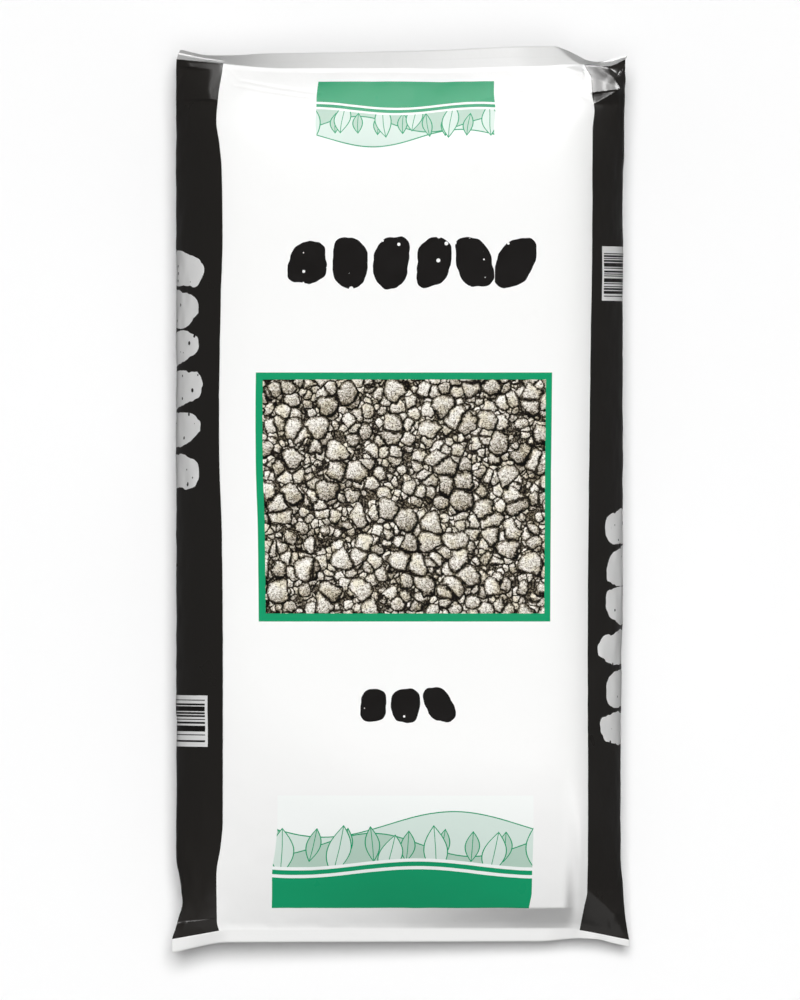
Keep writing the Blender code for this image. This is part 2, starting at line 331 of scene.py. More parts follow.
def row_y(x, y):
    """Y of the rows' points, pulled along with the seal near it."""
    y = np.atleast_1d(y)[:, None]
    below = (curve(BOTTOM_SEAL, x) - BOTTOM_SEAL_Y) * left_over(y - BOTTOM_SEAL_Y, EAR_REACH, 2)
    above = (curve(TOP_SEAL, x) - TOP_SEAL_Y) * left_over(TOP_SEAL_Y - y, EAR_REACH, 2)
    return y + below + above


def front_rise(up, x, dome):
    """How much of the full height the front has reached this far above the bottom seal, 0 to 1."""
    reach = curve(BOTTOM_REACH, x) + DOME_REACH * dome
    plain = 1 - left_over(up, reach, 2.0)
    folded = np.where(
        up < KNEE,
        KNEE_SHARE * np.clip(up, 0, KNEE) / KNEE,
        KNEE_SHARE + (1 - KNEE_SHARE) * (1 - left_over(up - KNEE, reach - KNEE, 1.6)),
    )
    share = smooth_step(*KNEE_FADES_IN, x) * (1 - smooth_step(*KNEE_FADES_OUT, x))
    return plain + (folded - plain) * share


def body(y, shelves=1.0):
    """The front and back of the full part: X, Y, top Z and bottom Z for each row and point.

    The powers set how softly each surface rounds over towards its end."""
    x = row_x(y)
    rows_y = row_y(x, y)
    y = np.atleast_1d(y)[:, None]
    up = y - BOTTOM_SEAL_Y
    down = TOP_SEAL_Y - y
    to_seal = np.clip((y - (TOP_SEAL_Y - TOP_END)) / TOP_END, 0, 1)
    low_seal = curve(BOTTOM_SEAL_HEIGHT, x)
    high_seal = curve(TOP_SEAL_HEIGHT, x)
    dome = 1 - np.abs(OVER) ** (DOME_POWER + 2.0 * to_seal)

    shoulder = np.where(OVER < 0, LEFT_ROUND, RIGHT_ROUND)
    panel = FULL_HEIGHT - CROWN * (1 - dome) - shoulder * np.abs(OVER) ** 9
    panel = panel + (high_seal - panel) * to_seal**2.9
    panel = low_seal + (panel - low_seal) * front_rise(up, x, dome)

    gusset = GUSSET_HEIGHT + (low_seal - GUSSET_HEIGHT) * left_over(up, BOTTOM_END, 2.2)
    gusset = gusset + (high_seal - GUSSET_HEIGHT) * to_seal**3
    top = panel - side_fall(x, y, panel, gusset, shelves)

    low_back = left_over(up, BACK_END, 1.8)
    low_heel = left_over(up, BACK_END + LOW_HEEL_REACH, 1.6)
    high_back = left_over(down, TOP_BACK_END, 1.8)
    high_heel = left_over(down, TOP_BACK_END + HIGH_HEEL_REACH, 1.6)
    back = low_seal * low_back + high_seal * high_back
    heel = HEEL_HEIGHT + (low_seal - HEEL_HEIGHT) * low_heel + (high_seal - HEEL_HEIGHT) * high_heel
    rise = np.clip((np.abs(OVER) - BACK_FLAT) / (1 - BACK_FLAT), 0, 1) ** 2
    bottom = back + (heel - back) * rise + (gusset - heel) * OUT
    least = FIN_THICKNESS / 2 * (OUT < 1)
    middle = (top + bottom) / 2
    return x, rows_y, np.maximum(top, middle + least), np.minimum(bottom, middle - least)


def side_fall(x, y, panel, gusset, shelves):
    """How far the side film has dropped below the front crease, level out to its shelf and then steeper."""
    fall = np.zeros_like(x)
    for shelf_line, crease_at, edge_at, here in (
        (LEFT_SHELF, SIDE_STEPS, 0, slice(0, SIDE_STEPS)),
        (RIGHT_SHELF, HALF_RING - SIDE_STEPS, HALF_RING, slice(HALF_RING - SIDE_STEPS + 1, HALF_RING + 1)),
    ):
        crease, edge = x[:, [crease_at]], x[:, [edge_at]]
        width = np.abs(edge - crease)
        out = np.abs(x[:, here] - crease)
        shelf = np.minimum(straight(shelf_line, y), width * MOST_SHELF) * shelves
        whole = panel[:, [crease_at]] - gusset[:, [edge_at]]
        on_shelf = SHELF_FALL * whole / USUAL_DROP
        level = np.minimum(out, shelf) * on_shelf
        beyond = np.clip((out - shelf) / np.maximum(width - shelf, 1e-6), 0, 1)
        rest = (whole - shelf * on_shelf) * (1 - (1 - beyond) ** SIDE_ROUND)
        fall[:, here] = level + rest
    return fall


def rings(x, y, top, bottom):
    """Closed rings: each row's top from left to right, then its bottom from right to left."""
    over = np.stack([x, y, top], axis=-1)
    under = np.stack([x, y, bottom], axis=-1)
    return np.concatenate([over, under[:, -2:0:-1]], axis=1)


def fin(seal_row, edge_y, width, fold, weld, flare, steps):
    """Rows from the seal to the fin's free edge, which hangs down where it's drawn back towards the seal."""
    x, y, z = seal_row
    width = curve(width, x)
    run = np.clip(np.abs(edge_y - y), 0, width)
    drop = np.sqrt(width**2 - run**2)
    share = np.linspace(0, 1, steps + 1)[1:, None]
    half = FIN_THICKNESS / 2 * (OUT < 1)
    flat = np.minimum(straight(fold, x), 1)
    banded = np.sqrt(np.maximum(BAND_WIDTH**2 - run**2, 0))
    plain = np.minimum(np.minimum(banded, BAND_SLOPE * run), drop)
    beyond = np.clip((share - flat) / np.maximum(1 - flat, 1e-6), 0, 1)
    folded = plain * np.minimum(share, flat) + (drop - plain * flat) * beyond
    level = straight(weld, x)
    start = straight(WELD_START, x)
    sloped = (np.minimum(share, start) + np.clip(share - start - level, 0, 1)) / (1 - level)
    middle = z - np.where(flat < 1, folded, drop * np.where(level > 0, sloped, share))
    rib = RIB_HEIGHT * np.sin(np.clip(share * width / RIB_BAND, 0, 1) * math.pi * RIB_COUNT) ** 2
    top = middle + half + rib * (OUT < 1)
    return rings(x + flare * OUT * share, y + (edge_y - y) * share, top, middle - half)


def sealed_fin(seal_y, seal_line, height_line, edge_line, width, fold, weld, flare, steps):
    """The ring on the seal and then the fin's own rows."""
    x = row_x(seal_y)
    y, z = curve(seal_line, x), curve(height_line, x)
    half = FIN_THICKNESS / 2 * (OUT < 1)
    rows = fin((x, y, z), curve(edge_line, x), width, fold, weld, flare, steps)
    return np.concatenate([rings(x, y, z + half, z - half), rows])


def side_arc():
    """How far round the side each ring point is, from the front crease to the back one, in millimetres."""
    over = SIDE_ARC * OUT
    under = (2 * SIDE_ARC - over)[-2:0:-1]
    return np.concatenate([over, under])


def whole_film():
    """All rings of the film, and each point's place on the flat film: across, along, round the side."""
    along = stations()
    bottom_fin = sealed_fin(
        BOTTOM_SEAL_Y, BOTTOM_SEAL, BOTTOM_SEAL_HEIGHT, BOTTOM_FIN, BOTTOM_FIN_WIDTH,
        fold=NO_FOLD, weld=NO_WELD, flare=0.0, steps=BOTTOM_FIN_ROWS,
    )
    top_fin = sealed_fin(
        TOP_SEAL_Y, TOP_SEAL, TOP_SEAL_HEIGHT, TOP_FIN, TOP_FIN_WIDTH,
        fold=TOP_FOLD, weld=WELD_WIDTH, flare=TOP_FIN_FLARE, steps=TOP_FIN_ROWS,
    )
    points = np.concatenate([bottom_fin[::-1], rings(*body(along)), top_fin])
    row_along = np.concatenate([
        BOTTOM_SEAL_Y - np.linspace(1, 0, BOTTOM_FIN_ROWS + 1) * FIN_PLACE,
        along,
        TOP_SEAL_Y + np.linspace(0, 1, TOP_FIN_ROWS + 1) * FIN_PLACE,
    ])
    ring_over = np.concatenate([OVER, OVER[-2:0:-1]]) * PANEL_HALF
    shape = points.shape[:2]
    place = np.stack(
        [
            np.broadcast_to(ring_over, shape),
            np.broadcast_to(row_along[:, None], shape),
            np.broadcast_to(side_arc(), shape),
        ],
        axis=-1,
    )
    return points, place


def tube_faces(rows):
    """The faces of a tube through the rings, with both ends closed."""
    j = np.arange(RING)
    k = (j + 1) % RING
    row = np.arange(rows - 1)[:, None] * RING
    quads = np.stack([row + j, row + k, row + RING + k, row + RING + j], axis=-1).reshape(-1, 4).tolist()
    caps = []
    for start in (0, (rows - 1) * RING):
        for i in range(HALF_RING):
            corners = [i, i + 1, RING - i - 1, (RING - i) % RING]
            caps.append(list(dict.fromkeys(start + corner for corner in corners)))
    return quads + caps


def closed_mesh(name, points, faces):
    """A closed mesh, in metres, with its faces out."""
    mesh = bpy.data.meshes.new(name)
    mesh.from_pydata((points.reshape(-1, 3) / 1000).tolist(), [], faces)
    work = bmesh.new()
    work.from_mesh(mesh)
    bmesh.ops.recalc_face_normals(work, faces=work.faces)
    work.to_mesh(mesh)
    work.free()
    for polygon in mesh.polygons:
        polygon.use_smooth = True
    return mesh


def add_piece(name, mesh, slot, *nodes):
    piece = bpy.data.objects.new(name, mesh)
    bpy.context.scene.collection.objects.link(piece)
    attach(piece, "root")
    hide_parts(*nodes)
    return piece


class Nodes:
    """Short names for building one material's nodes."""

    def __init__(self, name):
        self.material = bpy.data.materials.new(name)
        self.material.use_nodes = True
        self.tree = self.material.node_tree
        self.shader = self.tree.nodes["Principled BSDF"]

    def join(self, value, socket):
        if isinstance(value, bpy.types.NodeSocket):
            self.tree.links.new(value, socket)
        else:
            socket.default_value = value

    def math(self, kind, *values):
        node = self.tree.nodes.new("ShaderNodeMath")
        node.operation = kind
        for value, socket in zip(values, node.inputs):
            self.join(value, socket)
        return node.outputs[0]

    def ramp(self, value, low, high, to_low=0.0, to_high=1.0, smooth=False):
        node = self.tree.nodes.new("ShaderNodeMapRange")
        node.interpolation_type = "SMOOTHSTEP" if smooth else "LINEAR"
        for item, socket in zip((value, low, high, to_low, to_high), node.inputs):
            self.join(item, socket)
        return node.outputs[0]

    def mix(self, share, first, second, blend="MIX"):
        node = self.tree.nodes.new("ShaderNodeMix")
        node.data_type = "RGBA"
        node.blend_type = blend
        self.join(share, node.inputs["Factor"])
        for value, socket in zip((first, second), (node.inputs[6], node.inputs[7])):
            self.join(value, socket)
        return node.outputs[2]

    def vector(self, x, y, z=0.0):
        node = self.tree.nodes.new("ShaderNodeCombineXYZ")
        for value, socket in zip((x, y, z), node.inputs):
            self.join(value, socket)
        return node.outputs[0]

    def split(self, vector):
        node = self.tree.nodes.new("ShaderNodeSeparateXYZ")
        self.join(vector, node.inputs[0])
        return node.outputs

    def along(self, kind, first, second):
        node = self.tree.nodes.new("ShaderNodeVectorMath")
        node.operation = kind
        self.join(first, node.inputs[0])
        if kind == "SCALE":
            self.join(second, node.inputs["Scale"])
        else:
            self.join(second, node.inputs[1])
        return node.outputs[0]

    def noise(self, vector, scale, detail=2.0, rough=0.5):
        node = self.tree.nodes.new("ShaderNodeTexNoise")
        self.join(vector, node.inputs["Vector"])
        node.inputs["Scale"].default_value = scale
        node.inputs["Detail"].default_value = detail
        node.inputs["Roughness"].default_value = rough
        return node.outputs

    def cells(self, vector, scale, feature="F1"):
        node = self.tree.nodes.new("ShaderNodeTexVoronoi")
        node.feature = feature
        self.join(vector, node.inputs["Vector"])
        node.inputs["Scale"].default_value = scale
        return node.outputs

    def chance(self, number):
        """A random value and colour for each whole number."""
        node = self.tree.nodes.new("ShaderNodeTexWhiteNoise")
        node.noise_dimensions = "1D"
        self.join(number, node.inputs["W"])
        return node.outputs

    def place(self):
        """The point's place on the flat film, in millimetres: across, along, round the side."""
        node = self.tree.nodes.new("ShaderNodeAttribute")
        node.attribute_name = "film_place"
        return node.outputs["Vector"]

    def inside(self, value, low, high):
        """1 where the value is between the two."""
        above = self.math("GREATER_THAN", value, low)
        return self.math("MULTIPLY", above, self.math("LESS_THAN", value, high))

    def box(self, x, y, left, right, low, high):
        return self.math("MULTIPLY", self.inside(x, left, right), self.inside(y, low, high))


def linear(value):
    """One channel of a screen colour, 0 to 255, as light."""
    share = value / 255
    return ((share + 0.055) / 1.055) ** 2.4 if value > 10 else share / 12.92


def rgba(red, green, blue):
    """A colour given as it shows on screen, 0 to 255."""
    return linear(red), linear(green), linear(blue), 1.0


WHITE = rgba(246, 246, 245)
BLACK = rgba(36, 34, 32)
INK = rgba(22, 20, 19)
GREEN = rgba(16, 152, 103)
MID_GREEN = rgba(181, 208, 193)
PALE_GREEN = rgba(214, 230, 222)
PRINT_WHITE = rgba(247, 250, 248)

# The picture of stones and its frame: left, right, low and high
PICTURE = (-138.8, 137.9, -111.7, 117.8)
PICTURE_FRAME = (-145.7, 143.8, -119.6, 124.7)

# The pictured stones, from small to large: their size, the dark gap round them, the share of cells that hold
# one, and a seed. Each is a cell that is cut off round its middle, and its tones run from dark to lit
STONE_LAYERS = ((8.0, 0.045, 0.94, 1), (12.5, 0.04, 0.68, 2), (19.0, 0.035, 0.42, 3))
STONE_RADIUS = 0.71
GAP_TONE = rgba(5, 4, 3)
STONE_TONES = (
    (0.16, rgba(36, 29, 22)),
    (0.36, rgba(114, 104, 88)),
    (0.56, rgba(180, 172, 158)),
    (0.78, rgba(226, 221, 212)),
)
LIT_TONE = rgba(252, 249, 243)
OLIVE_TINT = rgba(238, 232, 206)

# The garden prints. Hills: height, swing, turns, shift and colour. Leaves: how far apart, base, height,
# colour and shift. Both are in shares of the print's half width. Then each print's half width and base line
HILLS = ((0.66, 0.10, 3.1, 0.4, PALE_GREEN), (0.50, 0.09, 4.0, 2.6, MID_GREEN))
LEAVES = ((0.25, 0.36, 0.30, MID_GREEN, 0.1), (0.4, 0.25, 0.42, PALE_GREEN, 0.33))
UPPER_PRINT = {"half_width": 86.0, "base": 411.0}
LOWER_PRINT = {"half_width": 127.0, "base": -402.3}

# Rows of pebble shapes: where they start, how far apart, how many, their middle line, half height and seed
LONG_ROW = {"start": -117.0, "pitch": 40.6, "count": 6, "middle": 232.5, "half": 27.5, "seed": 4.0}
SHORT_ROW = {"start": -49.0, "pitch": 33.0, "count": 3, "middle": -202.0, "half": 19.0, "seed": 23.0}
SIDE_ROW = {"pitch": 40.0, "count": 6, "middle": 78.0, "half": 56.0}
LEFT_ROW_START = 8.0
RIGHT_ROW_START = -245.0

# The striped labels: how far round the side, how far along each side, and the width of a stripe
LABEL_ROUND = (19.0, 92.0)
LEFT_LABEL = (-243.0, -192.5)
RIGHT_LABEL = (195.5, 249.0)
STRIPE = 0.95

# The back's print: a green frame, the white box in it, and the lines in the box with their spacing
BACK_FRAME = (-120.0, 120.0, -160.0, 160.0)
BACK_BOX = (-114.0, 114.0, -154.0, 154.0)
BACK_LINES = (-100.0, 100.0, -140.0, 140.0)
LINE_SPACING = 18.0
LINE_TONE = rgba(150, 176, 164)

# How far from the middle the film with the picture reaches, along the sack
PICTURE_REACH = 150.0

# The filling's stones: two tones, the painted shade in the gaps between them, the painted shade in their
# pits, and how many there are in a metre
HEAP_TONES = (rgba(176, 166, 150), rgba(216, 208, 196))
HEAP_GAP_PAINTED_SHADE = rgba(52, 44, 36)
HEAP_PIT_PAINTED_SHADE = rgba(96, 86, 74)
HEAP_DENSITY = 90.0


def stone_layer(n, at, size, seed):
    """One layer of pictured stones: each point's light, how far inside its stone it is, and a chance."""
    moved = n.along("ADD", at, (seed * 37.0, seed * 91.0, 0.0))
    wave = n.along("SCALE", n.noise(moved, 1.1 / size, 3.0, 0.6)[1], size * 0.6)
    bent = n.along("ADD", moved, wave)
    cell = n.cells(bent, 1 / size)
    edge = n.cells(bent, 1 / size, "DISTANCE_TO_EDGE")[0]
    hue = n.split(cell[1])
    off = n.split(n.along("SUBTRACT", bent, cell[2]))
    corner = n.math("MULTIPLY", n.math("SUBTRACT", STONE_RADIUS, cell[0]), 0.8)
    edge = n.math("MINIMUM", edge, corner)
    body = n.ramp(edge, 0.01, 0.17, 0.06, 0.75, True)
    lit = n.math("MULTIPLY", n.math("ADD", off[1], n.math("MULTIPLY", off[0], -0.5)), 0.38 / size)
    rough = n.math("MULTIPLY", n.math("SUBTRACT", n.noise(moved, 0.36, 5.0, 0.75)[0], 0.5), 2.1)
    pits = n.ramp(n.noise(moved, 0.75, 2.0, 0.6)[0], 0.40, 0.46, -0.42, 0.0)
    light = n.math("ADD", n.math("ADD", body, lit), n.math("ADD", rough, pits))
    light = n.math("ADD", light, n.ramp(hue[0], 0.0, 1.0, -0.13, 0.12))
    return light, edge, hue[2]


def gravel_picture(n, x, y):
    """A printed picture of loose pumice: large stones over small ones, with dark gaps."""
    at = n.vector(x, y)
    light = n.ramp(n.noise(at, 0.5, 4.0, 0.7)[0], 0.42, 0.66, 0.02, 0.6)
    for size, gap, share, seed in STONE_LAYERS:
        stones, edge, chance = stone_layer(n, at, size, seed)
        chosen = n.math("LESS_THAN", chance, share)
        cast = n.math("MULTIPLY", chosen, n.ramp(edge, gap - 0.08, gap, 0.0, 1.0))
        light = n.math("MULTIPLY", light, n.math("SUBTRACT", 1.0, cast))
        shown = n.math("MULTIPLY", chosen, n.math("GREATER_THAN", edge, gap))
        light = n.ramp(shown, 0.0, 1.0, light, stones)
    ramp = n.tree.nodes.new("ShaderNodeValToRGB")
    ramp.color_ramp.elements[0].color = GAP_TONE
    ramp.color_ramp.elements[1].color = LIT_TONE
    for place, colour in STONE_TONES:
        ramp.color_ramp.elements.new(place).color = colour
    n.join(light, ramp.inputs["Fac"])
    stone = ramp.outputs["Color"]
    olive = n.ramp(n.noise(at, 0.07, 2.0, 0.5)[0], 0.48, 0.62, 0.0, 0.5)
    return n.mix(olive, stone, n.mix(1.0, stone, OLIVE_TINT, "MULTIPLY"))


def pebble_row(n, along, across, start, pitch, count, middle, half, seed):
    """Solid pebble shapes in a row: 1 on a pebble, with a few pores left open."""
    place = n.math("DIVIDE", n.math("SUBTRACT", along, start), pitch)
    number = n.math("FLOOR", place)
    local = n.math("SUBTRACT", n.math("SUBTRACT", place, number), 0.5)
    random = n.split(n.chance(n.math("ADD", number, seed))["Color"])
    high = n.ramp(random[0], 0.0, 1.0, half * 0.8, half)
    wide = n.ramp(random[1], 0.0, 1.0, 0.41, 0.49)
    up = n.math("DIVIDE", n.math("SUBTRACT", across, middle), high)
    tilt = n.ramp(random[2], 0.0, 1.0, -0.16, 0.16)
    sideways = n.math("DIVIDE", n.math("ADD", local, n.math("MULTIPLY", up, tilt)), wide)
    squared = n.math("ADD", *(n.math("POWER", n.math("ABSOLUTE", way), 2.6) for way in (up, sideways)))
    rough = n.noise(n.vector(along, across, seed * 10.0), 0.04, 2.0, 0.5)[0]
    bulk = n.math("ADD", squared, n.math("MULTIPLY", n.math("SUBTRACT", rough, 0.5), 1.3))
    pebble = n.math("LESS_THAN", bulk, 0.95)
    pore = n.cells(n.vector(along, across, seed * 3.0), 0.13)
    rare = n.ramp(n.split(pore[1])[0], 0.62, 1.0, 0.0, 0.3)
    dots = n.math("GREATER_THAN", pore[0], rare)
    within = n.inside(number, -0.5, count - 0.5)
    return n.math("MULTIPLY", n.math("MULTIPLY", pebble, dots), within)


def garden_print(n, x, y, colour, half_width):
    """A generic strip of rolling ground with simple leaves, over x from -1 to 1 and y from 0 to 0.88."""
    region = n.box(x, y, -1.0, 1.0, 0.0, 0.88)

    def hill(height, swing, turns, shift):
        wave = n.math("SINE", n.math("ADD", n.math("MULTIPLY", x, turns), shift))
        return n.math("SUBTRACT", n.math("ADD", n.math("MULTIPLY", wave, swing), height), y)

    art = PRINT_WHITE
    line = 1.1 / half_width
    for height, swing, turns, shift, fill in HILLS:
        under = hill(height, swing, turns, shift)
        art = n.mix(n.math("GREATER_THAN", under, 0.0), art, fill)
        art = n.mix(n.inside(under, 0.0, line), art, GREEN)
    for pitch, base, tall, fill, shift in LEAVES:
        step = n.math("DIVIDE", n.math("ADD", x, shift), pitch)
        number = n.math("FLOOR", step)
        local = n.math("MULTIPLY", n.math("SUBTRACT", n.math("SUBTRACT", step, number), 0.5), pitch)
        random = n.split(n.chance(n.math("ADD", number, shift * 50))["Color"])
        lean = n.ramp(random[0], 0.0, 1.0, -0.5, 0.5)
        up = n.math("SUBTRACT", y, base)
        across = n.math("SUBTRACT", local, n.math("MULTIPLY", lean, n.math("MULTIPLY", up, 0.35)))
        share = n.math("DIVIDE", up, n.ramp(random[1], 0.0, 1.0, tall * 0.75, tall))
        width = n.math("MULTIPLY", n.math("SINE", n.math("MULTIPLY", share, math.pi)), pitch * 0.24)
        gap = n.math("SUBTRACT", width, n.math("ABSOLUTE", across))
        leaf = n.math("MULTIPLY", n.math("GREATER_THAN", gap, 0.0), n.inside(share, 0.0, 1.0))
        art = n.mix(leaf, art, fill)
        outline = n.math("MULTIPLY", leaf, n.math("LESS_THAN", gap, line))
        vein = n.math("MULTIPLY", leaf, n.math("LESS_THAN", n.math("ABSOLUTE", across), line * 0.35))
        art = n.mix(n.math("MAXIMUM", outline, vein), art, GREEN)
    ground = hill(0.27, 0.035, 3.4, 1.2)
    art = n.mix(n.math("GREATER_THAN", ground, -0.085), art, PRINT_WHITE)
    art = n.mix(n.inside(ground, -0.06, -0.025), art, GREEN)
    art = n.mix(n.math("GREATER_THAN", ground, 0.0), art, GREEN)
    return n.mix(region, colour, art)


def striped_label(n, x, y, low_x, high_x, low_y, high_y):
    """A white label and the plain stripes on it, running across y."""
    label = n.box(x, y, low_x, high_x, low_y, high_y)
    stripe = n.math("FLOOR", n.math("DIVIDE", y, STRIPE))
    dark = n.math("GREATER_THAN", n.chance(stripe)["Value"], 0.5)
    field = n.box(x, y, low_x + 3.5, high_x - 9.0, low_y + 4.0, high_y - 4.0)
    return label, n.math("MULTIPLY", dark, field)


def finish_film(n, colour, gloss=0.07):
    """Gives the film its colour, its satin gloss and the fine unevenness of thin plastic."""
    n.join(colour, n.shader.inputs["Base Color"])
    patches = n.noise(n.place(), 0.02, 3.0, 0.6)[0]
    n.join(n.ramp(patches, 0.3, 0.7, 0.27, 0.36), n.shader.inputs["Roughness"])
    n.shader.inputs["Specular IOR Level"].default_value = gloss
    bump = n.tree.nodes.new("ShaderNodeBump")
    bump.inputs["Strength"].default_value = 0.25
    bump.inputs["Distance"].default_value = 0.0006
    n.join(n.noise(n.place(), 0.09, 2.0, 0.55)[0], bump.inputs["Height"])
    n.join(bump.outputs[0], n.shader.inputs["Normal"])
    return n.material


def picture_film():
    """White film with the framed picture of stones."""
    n = Nodes("film_picture")
    x, y, _ = n.split(n.place())
    colour = n.mix(n.box(x, y, *PICTURE_FRAME), WHITE, GREEN)
    colour = n.mix(n.box(x, y, *PICTURE), colour, gravel_picture(n, x, y))
    return finish_film(n, colour)


def upper_film():
    """White film with the row of stone shapes and the small garden print, upside down."""
    n = Nodes("film_upper")
    x, y, _ = n.split(n.place())
    colour = n.mix(pebble_row(n, x, y, **LONG_ROW), WHITE, INK)
    half_width = UPPER_PRINT["half_width"]
    print_x = n.math("DIVIDE", x, -half_width)
    print_y = n.math("DIVIDE", n.math("SUBTRACT", UPPER_PRINT["base"], y), half_width)
    return finish_film(n, garden_print(n, print_x, print_y, colour, half_width))


def lower_film():
    """White film with the short row of stone shapes and the large garden print."""
    n = Nodes("film_lower")
    x, y, _ = n.split(n.place())
    colour = n.mix(pebble_row(n, x, y, **SHORT_ROW), WHITE, INK)
    half_width = LOWER_PRINT["half_width"]
    print_x = n.math("DIVIDE", x, half_width)
    print_y = n.math("DIVIDE", n.math("SUBTRACT", y, LOWER_PRINT["base"]), half_width)
    return finish_film(n, garden_print(n, print_x, print_y, colour, half_width))


def side_film():
    """Black film with a column of white stone shapes and a striped label on each side."""
    n = Nodes("film_side")
    x, y, round_side = n.split(n.place())
    left = n.math("LESS_THAN", x, 0.0)
    right = n.math("SUBTRACT", 1.0, left)
    colour = BLACK
    for here, start in ((left, LEFT_ROW_START), (right, RIGHT_ROW_START)):
        row = pebble_row(n, y, round_side, start=start, seed=41.0 + start / 10, **SIDE_ROW)
        colour = n.mix(n.math("MULTIPLY", row, here), colour, WHITE)
    for here, span in ((left, LEFT_LABEL), (right, RIGHT_LABEL)):
        label, stripes = striped_label(n, round_side, y, *LABEL_ROUND, *span)
        colour = n.mix(n.math("MULTIPLY", label, here), colour, WHITE)
        colour = n.mix(n.math("MULTIPLY", stripes, here), colour, INK)
    side = n.inside(round_side, 0.6, 2 * SIDE_ARC - 0.6)
    dark = n.math("MULTIPLY", side, n.inside(y, BOTTOM_SEAL_Y + 0.3, TOP_SEAL_Y + 0.6))
    return finish_film(n, n.mix(dark, WHITE, colour), 0.2)


def back_film():
    """White film with a plain ruled box in a green frame."""
    n = Nodes("film_back")
    x, y, _ = n.split(n.place())
    colour = n.mix(n.box(x, y, *BACK_FRAME), WHITE, GREEN)
    colour = n.mix(n.box(x, y, *BACK_BOX), colour, WHITE)
    from_line = n.math("PINGPONG", y, LINE_SPACING / 2)
    ruled = n.math("MULTIPLY", n.math("LESS_THAN", from_line, 0.5), n.box(x, y, *BACK_LINES))
    return finish_film(n, n.mix(ruled, colour, LINE_TONE))


def assign_film(mesh, place):
    """Gives each face the material of its region of the film."""
    for material in (picture_film(), upper_film(), lower_film(), side_film(), back_film()):
        mesh.materials.append(material)
    kinds = np.zeros(len(mesh.polygons), int)
    for polygon in mesh.polygons:
        own = place[list(polygon.vertices)]
        along, round_side = own[:, 1].mean(), own[:, 2]
        if round_side.max() < 0.01:
            kinds[polygon.index] = 1 if along > PICTURE_REACH else 2 if along < -PICTURE_REACH else 0
        else:
            kinds[polygon.index] = 4 if round_side.min() > 2 * SIDE_ARC - 0.01 else 3
    mesh.polygons.foreach_set("material_index", kinds)


def stone_material():
    """Loose pumice as it shows through a vent, with painted shade in the gaps between the stones and in
    their pits.
    """
    n = Nodes("pumice_stone")
    where = n.tree.nodes.new("ShaderNodeTexCoord").outputs["Object"]
    cell = n.cells(where, HEAP_DENSITY)
    edge = n.cells(where, HEAP_DENSITY, "DISTANCE_TO_EDGE")[0]
    tone = n.mix(n.split(cell[1])[0], *HEAP_TONES)
    # Painted shade: the gaps between the stones are coloured dark in place of the shade between them
    colour = n.mix(n.ramp(edge, 0.02, 0.12), HEAP_GAP_PAINTED_SHADE, tone)
    # Painted shade: small pits in the stones are coloured dark in place of the shade inside them
    pits = n.ramp(n.noise(where, 10 * HEAP_DENSITY, 2.0)[0], 0.36, 0.46)
    n.join(n.mix(pits, HEAP_PIT_PAINTED_SHADE, colour), n.shader.inputs["Base Color"])
    n.shader.inputs["Roughness"].default_value = 0.95
    bump = n.tree.nodes.new("ShaderNodeBump")
    bump.inputs["Distance"].default_value = 0.002
    n.join(n.ramp(edge, 0.0, 0.3), bump.inputs["Height"])
    n.join(bump.outputs[0], n.shader.inputs["Normal"])
    return n.material


def facet_lift(x, y):
    """How far the crumpled facets at the corner stand above the smooth film."""
    lift = np.zeros_like(x)
    for (ax, ay, a), (bx, by, b), (cx, cy, c) in FACETS:
        area = (by - cy) * (ax - cx) + (cx - bx) * (ay - cy)
        first = ((by - cy) * (x - cx) + (cx - bx) * (y - cy)) / area
        second = ((cy - ay) * (x - cx) + (ax - cx) * (y - cy)) / area
        third = 1 - first - second
        within = (first >= 0) & (second >= 0) & (third >= 0)
        lift = np.where(within, first * a + second * b + third * c, lift)
    return lift


def crease_depth(x, y):
    """How deep the faint creases lie, as narrow grooves along their lines."""
    depth = np.zeros_like(x)
    for line in CREASES:
        for (ax, ay), (bx, by) in zip(line, line[1:]):
            length = math.hypot(bx - ax, by - ay)
            along = np.clip(((x - ax) * (bx - ax) + (y - ay) * (by - ay)) / length**2, 0, 1)
            away = np.hypot(x - ax - along * (bx - ax), y - ay - along * (by - ay))
            depth = np.maximum(depth, np.exp(-((away / CREASE_WIDTH) ** 2)))
    return depth


def film_detail(points, place):
    """The film with its facets and creases, puckers at the seals and faint lumps where stones press it."""
    across, along, arc = np.moveaxis(place, -1, 0)
    front = (along > BOTTOM_SEAL_Y) & (along < TOP_SEAL_Y)
    front[:, HALF_RING + 1 :] = False
    points = points.copy()
    x, y = points[..., 0], points[..., 1]
    points[..., 2] += np.where(front, facet_lift(x, y), 0)
    points[..., 2] -= np.where(front & (arc == 0), CREASE_DEPTH * crease_depth(x, y), 0)
    normals = ring_normals(points)
    flat = np.where(arc > 0, np.sign(across) * (np.abs(across) + arc), across)
    up = np.clip(along - BOTTOM_SEAL_Y, 0, None)
    down = np.clip(TOP_SEAL_Y - along, 0, None)
    inner = smooth_step(0, 6, up) * smooth_step(0, np.where(arc > 0, 14, 4), down)
    on_floor = (arc > 2 * SIDE_ARC - 1) & (points[..., 2] < 6)
    stones = sum(height * lumps(flat, along, size, seed) for height, size, seed in (STONE_LUMPS, GRIT_LUMPS))
    sides = smooth_step(5, 30, arc)
    move = (stones * (1 + 1.4 * sides) - 0.3) * inner
    height, size, seed = PUCKER
    pucker = lumps(flat + 0.1 * along, along * 0.12, size, seed)
    near = np.exp(-up / 20.0) + np.exp(-down / 16.0)
    move += height * (pucker - 0.6) * near * inner * np.where(arc > 0, 1.0, 0.55)
    move = np.where(on_floor, np.minimum(move, 0), move)
    return points + normals * move[..., None]


